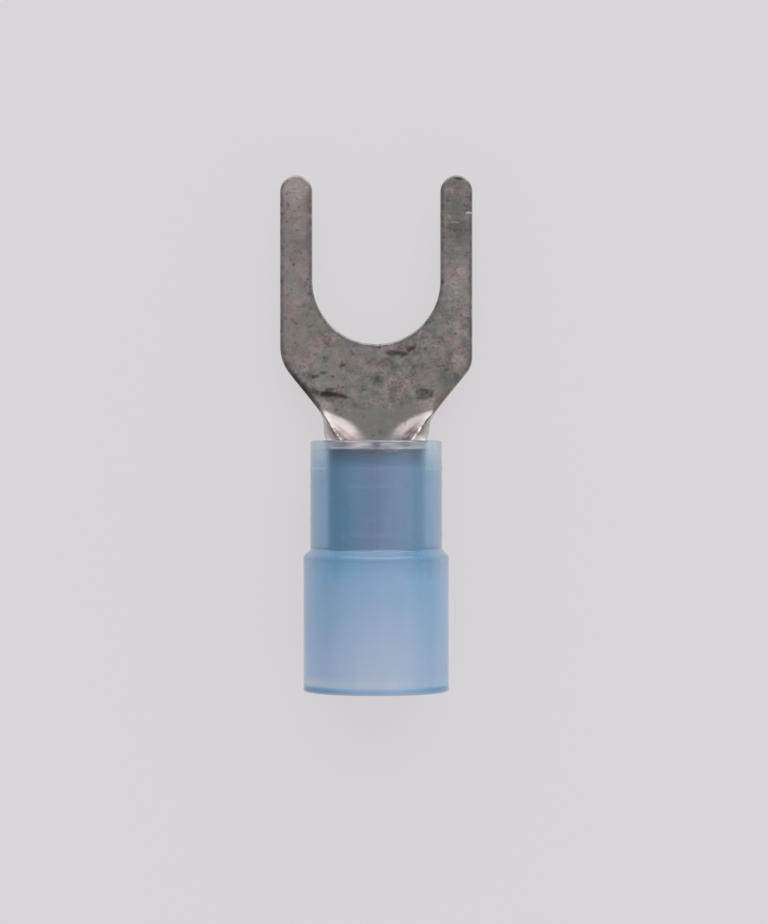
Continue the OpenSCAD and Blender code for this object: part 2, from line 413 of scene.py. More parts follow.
def halfTerminal(back, shoulderR):  # grids of the right half, and how dark each of their points is
    t = terminal
    tineR = (forkHalf - slotR) / 2
    tipY = t["tineReach"] - tineR
    tipCentre = (slotR + tineR, tipY)
    shoulderTop = shoulderR * math.tan(math.radians(t["taperDeg"] / 2)) - back
    shoulderCentre = (forkHalf - shoulderR, shoulderTop)
    shoulder = arcPoints(shoulderCentre, shoulderR, 0, -t["taperDeg"], t["shoulderSteps"])
    taperY = np.linspace(shoulder[-1, 1] - t["taperStart"], curlY, t["taperSteps"])
    curlRows = np.linspace(curlY, rimY + t["reliefR"], t["curlSteps"])
    reliefRows = rimY + t["reliefR"] * (1 - np.sin(np.linspace(0, np.pi / 2, t["reliefSteps"])))
    rimHalf = float(blankHalf(np.array(rimY), back))
    seamHalf = math.pi * meanR - t["seamGap"] / 2
    corner = t["cornerR"]
    rimCorner = (seamHalf - corner, rimY - corner)
    endCorner = (seamHalf - corner, endY + corner)

    # the blank's outline on one side, from the slot's root round the tine and down to the wire end
    byHalf = [np.column_stack([blankHalf(rows, back), rows]) for rows in (taperY, curlRows, reliefRows)]
    steps = t["cornerSteps"]
    tineFoot = linePoints((forkHalf, 0), (forkHalf, shoulderTop), t["shoulderSteps"])
    shoulderRun = joinRuns(tineFoot, shoulder, byHalf[0][:1])
    toRim = joinRuns(linePoints((rimHalf, rimY), (rimCorner[0], rimY), t["rimSteps"]),
                     arcPoints(rimCorner, corner, 90, 45, steps))
    seam = joinRuns(arcPoints(rimCorner, corner, 45, 0, steps),
                    linePoints((seamHalf, rimCorner[1]), (seamHalf, endCorner[1]), t["seamSteps"]),
                    arcPoints(endCorner, corner, 0, -45, steps))
    fromSeam = joinRuns(arcPoints(endCorner, corner, -45, -90, steps),
                        linePoints((endCorner[0], endY), (rimHalf, endY), t["rimSteps"]))
    runs = [
        arcPoints((0, 0), slotR, -90, 0, t["slotSteps"]),
        linePoints((slotR, 0), (slotR, tipY), t["tineSteps"]),
        arcPoints(tipCentre, tineR, 180, 90, t["tipSteps"]),
        arcPoints(tipCentre, tineR, 90, 0, t["tipSteps"]),
        linePoints((forkHalf, tipY), (forkHalf, 0), t["tineSteps"]),
        resample(shoulderRun, t["slotSteps"]),
        *byHalf,
        resample(toRim, t["sideSteps"]),
        resample(seam, t["barrelSteps"]),
        resample(fromSeam, t["sideSteps"]),
        linePoints((rimHalf, endY), (0, endY), t["across"]),
    ]
    path = joinRuns(*runs)
    ends = np.cumsum([len(run) - 1 for run in runs])
    apex, shoulderEnd, taperEnd, rim, rimSeam, seamEnd, endSplit = ends[[2, 5, 6, 8, 9, 10, 11]]

    # outward normal of the outline, exact where it meets the middle
    along = np.gradient(path, axis=0)
    normal = np.column_stack([-along[:, 1], along[:, 0]]) / np.linalg.norm(along, axis=1)[:, None]
    normal[0] = (0, 1)
    normal[-1] = (0, -1)

    # rounding radii along the outline, eased from one stretch to the next
    stretches = [(taperEnd + t["tongueOver"], t["tongueRound"]), (rim, t["neckRound"]),
                 (rimSeam, t["rimRound"]), (seamEnd, t["seamRound"]), (len(path), t["endRound"])]
    starts = [0] + [end for end, row in stretches[:-1]]
    rounds = np.vstack([np.tile(row, (end - start, 1)) for (end, row), start in zip(stretches, starts)])
    ease = t["easeSteps"]
    padded = np.pad(rounds, ((ease // 2, ease // 2), (0, 0)), mode="edge")
    rounds = np.column_stack([np.convolve(column, np.ones(ease) / ease, "valid") for column in padded.T])
    radii = rounds[:, :2]

    # section of the edge: a quarter round at the top, the wall, and a quarter round underneath
    quarter = np.linspace(0, np.pi / 2, t["roundSteps"] + 1)
    sinQ, cosQ = np.sin(quarter)[None], np.cos(quarter)[None]
    topR, underR = radii[:, :1], radii[:, 1:]
    wall = np.linspace(0, 1, t["wallSteps"] + 1)[None, 1:-1]
    wallTop, wallUnder = sheetT / 2 - topR, underR - sheetT / 2
    flat = np.full_like(topR, sheetT / 2)
    inset = np.hstack([topR + t["border"], topR * (1 - sinQ), 0 * wall * topR, underR * (1 - sinQ[:, ::-1])])
    height = np.hstack([flat, sheetT / 2 - topR * (1 - cosQ), wallTop + (wallUnder - wallTop) * wall,
                        underR * (1 - cosQ[:, ::-1]) - sheetT / 2])
    edge = path[:, None] - inset[..., None] * normal[:, None]
    grids = [curledSheet(edge[..., 0], edge[..., 1], height, back)]
    flatDark, roundDark, topDark, footDark, lineDark = np.split(rounds[:, 2:], 5, axis=1)
    line = np.array(t["lineShare"])[None]
    under = footDark * (1 - line) + lineDark * line
    topPart = roundDark + 0 * sinQ[:, 1:]
    wallPart = topDark + (footDark - topDark) * wall
    darkness = np.hstack([0 * topR, flatDark, topPart, wallPart, under])
    darkness[:, -1] = 0
    edgeShares = [darkness]

    # the two skins inside the rounded edge, as rungs and patches between stretches of the outline
    for side, up in ((0, sheetT / 2), (1, -sheetT / 2)):
        bound = path - (radii[:, side:side + 1] + t["border"] * (side == 0)) * normal
        tongueY = np.linspace(bound[0, 1], curlY, t["taperSteps"])
        middleY = np.concatenate([tongueY, path[taperEnd + 1:rim + 1, 1]])
        middle = np.column_stack([0 * middleY, middleY])
        foot = bound[-1]
        blocks = [ruled(bound[apex::-1], bound[apex:shoulderEnd + 1], t["across"])]
        blocks.append(ruled(middle, bound[shoulderEnd:rim + 1], t["across"]))
        seat = linePoints(bound[rim], bound[endSplit], t["barrelSteps"])
        blocks.append(ruled(linePoints(middle[-1], foot, t["barrelSteps"]), seat, t["across"]))
        rimEdge, endEdge = bound[rim:rimSeam + 1], bound[endSplit:seamEnd - 1:-1]
        blocks.append(coons(rimEdge, endEdge, seat, bound[rimSeam:seamEnd + 1]))
        seamSide = bound[(rimSeam + seamEnd) // 2, 0]
        for block in blocks:
            runOut = np.clip((seamSide - block[..., 0]) / t["serrationRunOut"], 0, 1)
            pressed = serrationDepth(block[..., 1]) * runOut if side == 0 else 0
            grids.append(curledSheet(block[..., 0], block[..., 1], up - pressed, back))
            edgeShares.append(np.zeros(block.shape[:2]))
    return grids, edgeShares


def makeTerminal(material):
    grids, shares = [], []
    for back, shoulderR, side in terminal["shoulders"]:
        half, darkness = halfTerminal(back, shoulderR)
        grids += [grid * (side, 1, 1) for grid in half]
        shares += darkness
    made = meshFromGrids("tinned_fork", grids, material, "edge", shares)
    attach(made, "root")
    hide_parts("fork_terminal")


tin = {
    "colours": {
        "metal": (0.272, 0.248, 0.24), "rosy": (1.05, 0.97, 0.965), "greenish": (0.965, 1.01, 0.985),
        "warm": (1.0, 1.0, 0.97), "cool": (0.985, 1.0, 1.04), "blush": (1.04, 0.96, 0.98), "plain": (1, 1, 1),
        "barrelLeft": (0.5, 0.92, 1.35), "barrelRight": (0.7, 0.95, 1.35), "barrelRim": (1.1, 0.86, 0.76),
        # edge is the colour of the painted shade along the rounded edges
        "stain": (0.05, 0.041, 0.036), "edge": (0.015, 0.0135, 0.0125), "rubbed": (0.66, 0.62, 0.6),
    },
    "roughness": 0.22, "roughSpread": 0.1, "barrelRough": 0.45,
    "bumpStrength": 0.12, "bumpHeight": 0.00003,
    # noise: scale, detail and roughness, and the levels between which it comes in
    "noise": {
        "grain": (9000, 3), "speck": (4300, 2, 0.6), "patch": (3000, 2), "blotch": (1300, 2),
        "fold": (3600, 3, 0.6), "streaks": (4.0, 2), "ragged": (6500, 2), "worn": (2600, 2),
        "glints": (9000, 1), "calm": (750, 1), "cool": (1000, 1),
    },
    "wornFrom": (0.32, 0.62), "glintsFrom": (0.56, 0.62), "pitsFrom": (0.61, 0.72),
    "flecksFrom": (0.64, 0.74), "calmFrom": (0.38, 0.62), "wrinklesFrom": (0.42, 0.58),
    "tintFrom": (0.36, 0.64), "coolFrom": (0.4, 0.65), "wrinkleWidth": 0.045,
    "drawnDeg": -41, "streakSize": (0.004, 0.0004, 0.004), "drawnSize": (0.006, 0.0006, 0.006),   # metres
    # places in mm along the part, between which a finish comes in
    "neckStart": (-5.7, -5.3), "tongueStart": (-5.7, -4.9), "tinesStart": (-2.6, 0.6),
    "streaksStart": (-1.0, 2.0), "glintsEnd": (-6.6, -6.2), "edgeFade": (-6.35, -5.9),
    "blushEnd": (-5.4, -4.9), "greenEnd": (-5.6, -5.0), "rosyStart": (-2.0, 0.0),
    "taper": (-5.5, -5.2, -3.9, -3.5),
    # the same from the barrel's rim
    "barrelStart": (-0.1, 0.0), "rimShade": (-1.1, -0.1), "rimCast": (-0.4, -0.1),
    "rimBand": (-0.06, -0.03, 0.02, 0.1), "besideSleeve": (0.24, 0.34, 0.34, 0.7),
    # places in mm across the part
    "rightTine": (2.0, 3.0), "leftTine": (-2.8, -2.2), "rimBandSides": (0.4, 1.0), "shadeSides": (-1.0, 0.6),
    "castSides": (-1.6, 0.6),
    # scoops: a point on the upper border, its slant, and distances in mm beyond and along it
    "scoopFoot": (1.0, -6.5), "scoopDeg": 40.8, "scoopBorder": (-0.1, 0.12), "scoopRise": (0.1, 1.3),
    "blushBorder": (-0.7, 0.1), "blushSheared": 0.3,
    # how much each of them adds to the level of the grey, or takes from it
    "level": 1.035, "grain": 0.38, "patch": 0.85, "blotch": 0.7, "wrinkles": 0.22, "streaks": 0.35,
    "flecks": 0.2, "unevenNeck": 0.3, "unevenTongue": 0.9, "evenTines": 0.58, "unevenRight": 0.25,
    "calm": (0.55, 0.8), "drawn": 1.1, "scoopRises": 0.5, "scoopFalls": 0.25, "sheared": 1.2,
    "rimBandGain": 1.9, "besideGain": (0.2, 0.15, 0.2), "rimShades": (0.65, 0.3),
    "greenNeck": 0.12, "rosyTine": 0.1,
    # painted shade on the sheared edge: least left where it is patchy, and what it loses at the right taper
    # and beside the sleeve
    "wornLeast": 0.25, "taperLoss": 0.6, "edgeLoss": (0.4, 0.35), "glintsRight": 0.1, "glintsAhead": 0.12,
    "pits": 0.5, "ragged": 1.1,
    # looks of the marks: raggedness, where they start to fade, where they end, and depth in mm
    "darkLook": (0.7, 0.25, 1.1, 0.4), "lightLook": (0.6, 0.7, 1.1, 0.4), "speckLook": (1.0, 0.4, 1.1, 3.0),
    "darkGain": 1.04, "shadeLook": (0.2, 1.0, 1.0),
    # marks on the upper face: centre x and y, half length and half width in mm, turn in degrees, strength
    "darkMarks": [
        (0.8, -3.03, 0.56, 0.165, 0, 0.74), (1.15, -3.05, 0.34, 0.19, 8, 0.74),
        (1.43, -2.88, 0.35, 0.15, 33, 0.82), (1.05, -3.0, 0.85, 0.3, 8, 0.25),
        (-1.95, -4.76, 0.7, 0.215, -3, 0.95), (-1.95, -4.59, 0.34, 0.147, 8, 0.7),
        (-1.45, -4.83, 0.41, 0.124, -12, 0.85), (-2.55, -4.66, 0.47, 0.203, -20, 0.7),
        (-1.9, -4.93, 0.56, 0.136, 3, 0.4), (-2.1, -4.75, 0.9, 0.407, -4, 0.3),
        (2.0, -4.75, 0.45, 0.282, -5, 0.45), (2.05, -4.6, 0.38, 0.102, -4, 0.7),
        (2.3, -4.74, 0.1, 0.226, 0, 0.6), (1.88, -4.91, 0.36, 0.09, 0, 0.5),
        (1.72, -4.72, 0.11, 0.203, 10, 0.4), (-2.6, -4.0, 0.34, 0.113, 5, 0.65),
        (-2.22, -3.87, 0.25, 0.102, 12, 0.65), (-2.75, -3.95, 0.45, 0.226, 0, 0.25),
        (-1.41, -3.555, 0.23, 0.102, 28, 0.6), (2.92, -3.74, 0.15, 0.113, 35, 0.6),
        (2.6, -3.58, 0.18, 0.102, 0, 0.35), (2.62, -3.3, 0.16, 0.113, 15, 0.4),
        (2.05, -2.85, 0.16, 0.113, 40, 0.35), (3.2, -2.95, 0.25, 0.09, 55, 0.3),
        (2.2, -3.65, 0.18, 0.113, 0, 0.3), (-2.1, -3.3, 0.23, 0.158, 60, 0.3),
        # the long marks along the tapers, at (-3.07, -4.45), (-3.6, -3.75) and (3.1, -4.45), are painted
        # shade
        (-2.0, -2.7, 0.28, 0.136, -30, 0.25), (-3.07, -4.45, 1.47, 0.226, -50.5, 0.75),
        (-3.6, -3.75, 0.79, 0.226, -60, 0.4), (3.1, -4.45, 1.47, 0.226, 50.5, 0.25),
        (3.4, 4.22, 0.23, 0.09, -8, 0.75), (-2.85, 3.3, 0.79, 0.113, 90, 0.25),
        (-2.86, 1.9, 1.02, 0.102, 88, 0.22), (-3.98, 3.14, 0.07, 0.056, 0, 0.7),
        (-3.95, 2.76, 0.07, 0.056, 0, 0.7),
    ],
    "shades": [   # broad soft tones, laid out alike, among them painted highlight and painted shade on the scoops
        (3.4, 2.7, 1.9, 0.9, 90, -0.17), (3.35, 2.05, 0.9, 0.7, 0, -0.25),
        (3.35, 3.0, 0.9, 0.5, 0, -0.12), (3.35, -0.2, 0.9, 1.1, 0, 0.26), (3.4, -2.2, 0.9, 0.6, 0, 0.1),
        (-3.4, 1.6, 3.5, 0.9, 90, 0.13), (-3.4, 3.95, 1.0, 1.2, 0, 0.42), (-3.35, 1.4, 0.9, 0.7, 0, -0.2),
        (-3.35, -0.7, 0.9, 0.8, 0, 0.17), (-3.3, -2.2, 0.9, 0.6, 0, 0.1), (-2.4, -4.3, 1.1, 1.0, 0, 0.15),
        # the two on the next line are painted highlight above the scoops; (1.4, -6.45), (1.3, -6.6) and (1.8,
        # -6.0) are painted shade on the right scoop's lower part
        (-2.15, -5.25, 0.6, 0.4, -45, 0.5), (2.2, -5.2, 0.55, 0.35, 45, 0.4),
        (1.4, -6.45, 0.6, 0.3, 37, -0.4), (1.3, -6.6, 0.35, 0.15, 20, -0.3),
        (0.9, -5.0, 0.6, 0.5, 0, -0.12), (1.8, -6.0, 0.6, 0.4, 33, -0.14), (-2.3, -3.2, 1.3, 1.0, 0, 0.1),
    ],
    "specks": [   # painted glints on the neck's upper corners, in the rubbed colour
        (1.79, -6.22, 0.15, 0.07, 62, 0.95), (1.53, -6.52, 0.2, 0.12, 40, 0.5),
        (1.61, -6.42, 0.05, 0.05, 60, 0.85), (1.74, -6.33, 0.05, 0.04, 52, 0.4),
        (1.48, -6.58, 0.08, 0.05, 40, 0.4), (-1.86, -6.1, 0.07, 0.03, -52, 0.3),
        (-1.73, -6.28, 0.07, 0.04, -52, 0.4), (-1.58, -6.44, 0.08, 0.05, -50, 0.7),
        (-1.45, -6.6, 0.1, 0.06, -45, 0.8),
    ],
    "lightMarks": [
        (3.85, 2.8, 0.15, 0.045, 0, 0.9), (3.04, 2.63, 0.1, 0.06, -50, 0.25),
        (3.27, 2.4, 0.25, 0.04, 0, 0.25), (3.25, -0.12, 0.2, 0.06, -20, 0.14),
        (3.4, -0.32, 0.2, 0.07, 10, 0.12), (-3.4, 3.87, 0.42, 0.035, 0, 0.12),
        (-3.49, 3.7, 0.36, 0.03, 0, 0.1), (-3.2, 3.41, 0.12, 0.045, -15, 0.22),
        (-3.66, 2.84, 0.08, 0.04, 20, 0.18), (-3.4, 2.29, 0.08, 0.04, 0, 0.12),
        (-2.87, 3.86, 0.07, 0.05, 30, 0.4), (-3.03, 1.2, 0.1, 0.05, 10, 0.15),
        (-1.27, -2.11, 0.07, 0.045, 20, 0.45),
    ],
}


def markMask(coords, ragged, marks, look):  # strongest of oval marks that fade to their ragged rims
    rim, core, end, depth = look
    wobble = ragged * rim
    total = None
    for x, y, halfLength, halfWidth, turn, strength in marks:
        size = (halfLength * mm, halfWidth * mm, depth * mm)
        around = coords.around((x * mm, y * mm, sheetT * mm), turn, size) + wobble
        mask = (1 - around.ramp(core, end)) * strength
        total = mask if total is None else total.atLeast(mask)
    return total


def softMask(coords, shades, look):  # sum of broad tones, painted scoop highlight and painted scoop shade among them, that fade from their middles
    core, end, depth = look
    total = 0
    for x, y, halfLength, halfWidth, turn, amount in shades:
        size = (halfLength * mm, halfWidth * mm, depth * mm)
        around = coords.around((x * mm, y * mm, sheetT * mm), turn, size)
        total = (1 - around.ramp(core, end)) * amount + total
    return total


def makeTin():
    made, coords, output = startMaterial("tinPlate")
    t, noise, paint = tin, tin["noise"], paints(tin)
    grain = coords.noise(*noise["grain"]) - 0.5
    speck = coords.noise(*noise["speck"])
    patch = coords.noise(*noise["patch"]) - 0.5
    blotch = coords.noise(*noise["blotch"])
    fold = coords.noise(*noise["fold"]) - 0.5
    streaks = coords.placed((0, 0, 0), 0, t["streakSize"]).noise(*noise["streaks"]) - 0.5
    ragged = (coords.noise(*noise["ragged"]) - 0.5) * t["ragged"]
    across, along = coords.axis(0), coords.axis(1)
    aside = across.unsigned()
    rightSide = across.zone(0, 1)
    neck = 1 - along.zone(*t["neckStart"])
    barrel = 1 - along.zone(*places(rimY, t["barrelStart"]))

    # painted shade on the sheared edges, dark where the mesh says so, patchy in places, broken by painted
    # glints at the neck
    edge = coords.node("ShaderNodeAttribute", {"attribute_name": "edge"}, None, "Fac")
    sheared = (0 - edge).ramp(0.0, 1.0)
    worn = coords.noise(*noise["worn"]).ramp(*t["wornFrom"]) * (1 - t["wornLeast"]) + t["wornLeast"]
    glints = coords.noise(*noise["glints"]) + across.zone(-1, 1) * t["glintsRight"]
    glints = (glints - along.zone(*t["glintsEnd"]) * t["glintsAhead"]).ramp(*t["glintsFrom"])
    taper = along.within(*t["taper"]) * rightSide
    edge = edge * worn * (1 - glints * neck) * (1 - taper * t["taperLoss"])
    fading = (1 - along.zone(*t["edgeFade"])) * (1 - barrel)
    edge = edge * (1 - fading * (t["edgeLoss"][0] + rightSide * t["edgeLoss"][1]))

    # stains, painted shade along the tapers' edges, rubbed places, painted glints on the neck's corners, and
    # pits
    dark = markMask(coords, ragged, t["darkMarks"], t["darkLook"]) * t["darkGain"]
    light = markMask(coords, ragged, t["lightMarks"], t["lightLook"])
    cornerGlints = markMask(coords, ragged, t["specks"], t["speckLook"])
    pits = speck.ramp(*t["pitsFrom"]) * t["pits"] * (1 - barrel)

    # scoops, beyond a slanting border on either side of the neck, with lines drawn along them
    slant = math.radians(t["scoopDeg"])
    beside = aside - t["scoopFoot"][0] * mm
    ahead = along - t["scoopFoot"][1] * mm
    beyond = beside * math.sin(slant) - ahead * math.cos(slant)
    outward = beside * math.cos(slant) + ahead * math.sin(slant)
    scoop = beyond.zone(*t["scoopBorder"]) * neck * (1 - barrel)
    blush = beyond.zone(*t["blushBorder"]) * (1 - along.zone(*t["blushEnd"])) * (1 - barrel)
    blush = blush * (1 - sheared.ramp(0.0, t["blushSheared"]))
    folded = coords.node("ShaderNodeVectorMath", {"operation": "ABSOLUTE"}, {0: coords})
    drawn = folded.placed((0, 0, 0), t["drawnDeg"], t["drawnSize"]).noise(*noise["streaks"]) - 0.5

    # level of the grey, more uneven on the tongue than on the tines and the neck
    amount = t["unevenNeck"] + along.zone(*t["tongueStart"]) * t["unevenTongue"]
    even = t["evenTines"] - across.zone(*t["rightTine"]) * t["unevenRight"]
    amount = amount - along.zone(*t["tinesStart"]) * even
    amount = amount * (t["calm"][0] + coords.noise(*noise["calm"]).ramp(*t["calmFrom"]) * t["calm"][1])
    wrinkles = 1 - fold.unsigned().ramp(0.0, t["wrinkleWidth"])
    uneven = grain * t["grain"] + patch * t["patch"] + (blotch - 0.5) * t["blotch"]
    uneven = uneven - wrinkles * blotch.ramp(*t["wrinklesFrom"]) * t["wrinkles"]
    level = t["level"] + uneven * amount + streaks * t["streaks"] * along.zone(*t["streaksStart"])
    level = level + softMask(coords, t["shades"], t["shadeLook"])
    # painted highlight on the scoops that grows outward from their border, with painted shade near the border
    scoopLight = outward.zone(*t["scoopRise"]) * t["scoopRises"] - t["scoopFalls"]
    level = level + scoop * (drawn * t["drawn"] + scoopLight)
    # painted highlight: a light band at the barrel's rim, on both sides away from the middle
    rimBand = along.within(*places(rimY, t["rimBand"])) * aside.zone(*t["rimBandSides"])
    level = level + rimBand * t["rimBandGain"]
    # painted light just in front of the sleeve: on the neck, more on the scoops, most on the right scoop
    flat, scooped, right = t["besideGain"]
    besideSleeveLight = along.within(*places(rimY, t["besideSleeve"]))
    level = level + besideSleeveLight * (flat + scoop * (scooped + rightSide * right))
    # painted shade: the barrel darker towards its rim, most on its left
    most, less = t["rimShades"]
    dim = most - across.zone(*t["shadeSides"]) * less
    level = level * (1 - barrel * along.zone(*places(rimY, t["rimShade"])) * dim)
    # painted highlight on the sheared walls' feet, and light flecks
    level = level + sheared * t["sheared"] + (1 - speck).ramp(*t["flecksFrom"]) * t["flecks"]

    # warm grey that leans to rose or to green from place to place, and the barrel's cast under the nylon,
    # less red on its left as painted shade
    tint = blotch - (1 - along.zone(*t["greenEnd"])) * t["greenNeck"]
    tint = tint + (1 - across.zone(*t["leftTine"])) * along.zone(*t["rosyStart"]) * t["rosyTine"]
    hue = tint.ramp(*t["tintFrom"]).mixed(paint["greenish"], paint["rosy"])
    hue = hue.times(coords.noise(*noise["cool"]).ramp(*t["coolFrom"]).mixed(paint["warm"], paint["cool"]))
    hue = hue.times(blush.mixed(paint["plain"], paint["blush"])).times(paint["metal"])
    toned = hue.node("ShaderNodeVectorMath", {"operation": "SCALE"}, {0: hue, "Scale": level})
    cast = across.zone(*t["castSides"]).mixed(paint["barrelLeft"], paint["barrelRight"])
    cast = barrel.mixed(paint["plain"], cast)
    cast = (barrel * along.zone(*places(rimY, t["rimCast"]))).mixed(cast, paint["barrelRim"])
    stainedAndShaded = (1 - (1 - dark) * (1 - pits)).mixed(toned.times(cast), paint["stain"])
    rubbed = light.mixed(stainedAndShaded, paint["rubbed"])
    colour = cornerGlints.mixed(edge.mixed(rubbed, paint["edge"]), paint["rubbed"])
    roughness = t["roughness"] + (blotch - 0.5) * t["roughSpread"]
    roughness = roughness + barrel * (t["barrelRough"] - t["roughness"])
    bump = grain.node("ShaderNodeBump", None, {
        "Strength": t["bumpStrength"], "Distance": t["bumpHeight"], "Height": grain})
    shader = coords.node("ShaderNodeBsdfPrincipled", None, {
        "Base Color": colour, "Metallic": 1.0, "Roughness": roughness, "Normal": bump})
    made.node_tree.links.new(shader.socket, output.inputs["Surface"])
    return made


# nylon sleeve: a profile of radius and distance from the front, turned about the barrel's axis

sleeve = {
    "length": 10.35, "wall": 0.7, "entryWall": 0.55, "frontCover": 0.31, "shoulder": 0.26,
    "shoulderFillet": 0.2, "leadInLen": 0.4, "neckClearance": 0.05, "stopStep": 0.12, "stopLand": 0.15,
    "funnelLen": 3.7, "entryChamfer": 0.2, "edgeR": 0.1, "fit": 0.02,
    # rounding inside: the chamfer's two edges, the funnel's two ends, the stop, the bores and the front
    "chamferR": 0.1, "entryEdgeR": 0.25, "funnelR": 0.5, "landR": 0.04, "stopR": 0.03, "boreEdgeR": 0.02,
    "frontEdgeR": 0.05,
    # faint rings on the narrow part: distance from the front, and a painted highlight along each, as extra
    # milkiness of the nylon
    "rings": (1.17, 1.91, 3.29, 3.90), "ringMilk": (0.12, 0.07, 0.015, 0.045),
    "ringHeight": 0.013, "ringWidth": 0.07,
    "turns": 264, "narrowSteps": 120, "tolerance": 0.001,
}
frontY = rimY + sleeve["frontCover"]
tailY = frontY - sleeve["length"]


def makeSleeve(material):
    v = sleeve
    barrelR = boreR + sheetT
    seatR = barrelR + v["fit"]
    narrowR = seatR + v["wall"]
    entryR = mounts["insulation_entry"]["r_mm"]
    wideR = entryR + v["entryWall"]
    stop = v["frontCover"] + terminal["barrelLen"]
    stopR = seatR - v["stopStep"]
    far = stop + v["stopLand"]
    nominal = terminal["shoulderBack"]
    neckCorner = curledSheet(blankHalf(np.array(frontY), nominal), np.array(frontY), -sheetT / 2, nominal)
    leadInR = math.hypot(neckCorner[0], neckCorner[2] - barrelR) + v["neckClearance"]
    corners = [   # radius, distance from the front, rounding
        (narrowR, 0, v["edgeR"]),
        (narrowR, stop - v["shoulder"], v["shoulderFillet"]),
        (wideR, stop, v["shoulderFillet"]),
        (wideR, v["length"], v["edgeR"]),
        (entryR + v["entryChamfer"], v["length"], v["chamferR"]),
        (entryR, v["length"] - v["entryChamfer"], v["entryEdgeR"]),
        (entryR, far + v["funnelLen"], v["funnelR"]),
        (stopR, far, v["landR"]),
        (stopR, stop, v["stopR"]),
        (seatR, stop, v["boreEdgeR"]),
        (seatR, v["leadInLen"], v["boreEdgeR"]),
        (leadInR, v["leadInLen"], v["boreEdgeR"]),
        (leadInR, 0, v["frontEdgeR"]),
    ]
    lastOutside, firstFront = 4, len(corners) - 1    # of these corners, the ends of the milky skin
    points = np.array([row[:2] for row in corners], float)
    before, after = np.roll(points, 1, axis=0), np.roll(points, -1, axis=0)
    rounds = [roundedCorner(*row, corner[2]) for *row, corner in zip(before, points, after, corners)]
    loop = np.vstack(rounds + [rounds[0][:1]])
    gap = np.linalg.norm(np.diff(loop, axis=0), axis=1)
    along = np.concatenate([[0], np.cumsum(gap)])
    steps = len(rounds[0])
    fine = np.linspace(along[steps - 1], along[steps], v["narrowSteps"])   # for the rings
    want = np.unique(np.round(np.concatenate([along, fine]), 6))
    radius = np.interp(want, along, loop[:, 0])
    back = np.interp(want, along, loop[:, 1])
    outside = radius > narrowR - v["tolerance"]
    for ring in v["rings"]:
        radius = radius + outside * v["ringHeight"] * np.exp(-((back - ring) / v["ringWidth"]) ** 2)
    angle = np.linspace(0, 2 * np.pi, v["turns"] + 1)[:, None]
    x = radius[None] * np.sin(angle)
    z = barrelR + radius[None] * np.cos(angle)
    grid = np.stack([x, np.broadcast_to(frontY - back[None], x.shape), z], axis=-1)
    milky = (want < along[(lastOutside + 1) * steps - 1]) | (want > along[firstFront * steps])
    skin = np.broadcast_to(milky.astype(float), x.shape)
    made = meshFromGrids("nylon_sleeve", [grid], material, "outside", [skin])
    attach(made, "root")
    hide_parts("insulating_sleeve")


nylon = {
    "ior": 1.53, "roughness": 0.12, "insideRough": 0.17,
    "passes": (0.0, 0.44, 0.85),   # colour that the body of the nylon lets through
    "density": 460.0,              # per metre
    # colours that the outside scatters back: over the barrel, the funnel and the entry also in the middle
    "colours": {
        "overBarrel": (0.13, 0.38, 0.58), "midBarrel": (0.275, 0.39, 0.57),
        "overFunnel": (0.2, 0.395, 0.575), "midFunnel": (0.23, 0.375, 0.56),
        "overEntry": (0.33, 0.43, 0.585), "midEntry": (0.44, 0.49, 0.6), "entrySide": (0.3, 0.435, 0.59),
        "pale": (0.335, 0.435, 0.54), "paleEdge": (0.36, 0.49, 0.59),   # at the sides of the narrow part
        "lip": (0.51, 0.6, 0.63), "frontEdge": (0.4, 0.39, 0.41),       # at its front end
        "leftCast": (1.08, 1.06, 1.06), "rightCast": (0.92, 0.98, 1.0), "band": (0.56, 0.61, 0.69),
        "tail": (0.21, 0.335, 0.475), "tailSide": (0.13, 0.295, 0.455), "tailEnd": (0.38, 0.46, 0.57),
    },
    # share of light that the outside scatters back
    "barrelShare": 0.27,
    "frontShare": 0.42,            # of that, over the wider front bore, where the wall is thin
    "sideShare": 1.75,             # of that, at the sides, where the wall is seen edge on
    "entryShare": 0.5, "entrySideShare": 0.7, "tailShare": 0.75, "frontEdgeShare": 0.22, "faceShare": 0.45,
    "veilShare": 0.08,             # more of it, to soften the barrel's wire end
    "bandShare": 0.45, "bandLoss": 0.8,
    # places in mm across the part, between which a tone comes in
    "rosyMiddle": 0.25, "rosySides": (0.2, 1.9), "wallSides": (1.6, 2.8), "paleSides": (2.25, 2.72),
    "entrySides": (2.2, 2.95), "entryShareSides": (1.6, 2.9), "castSides": (-2.0, 2.0),
    "bandEnd": (0.6, 2.0), "tailSides": (0.8, 2.2),
    "flankFull": 0.5,              # share of the wall's sides at which its own tone is full
    # places in mm along it, from the barrel's rim, the barrel's wire end, the sleeve's tail and its front
    "lipZone": (-1.4, 0.0), "thinZone": (-1.1, -0.15), "frontEdgeZone": (0.2, 0.28),
    "blueZone": (-1.3, -0.5, 0.0, 0.6), "wideZone": (-1.2, -0.25), "veilZone": (-0.05, 0.15, 0.25, 0.5),
    "funnelEnd": -0.5, "entryEnd": 0.14, "bandZone": (0.38, 0.84), "tailZone": (0.22, 0.36),
    "endZone": (0.04, 0.12), "faceZone": (-0.02, -0.002),
    # clouds and streaks: noise as scale and detail, and strength
    "clouds": (800, 2), "cloudGain": 0.95, "blueGain": 0.4,
    "streakSize": (0.001, 0.008, 0.008), "streaks": (1.6, 2), "streakGain": (0.55, 0.4),
    "ringNoise": (1100, 1), "ringFrom": (0.35, 0.6), "ringSpread": 0.11,
}


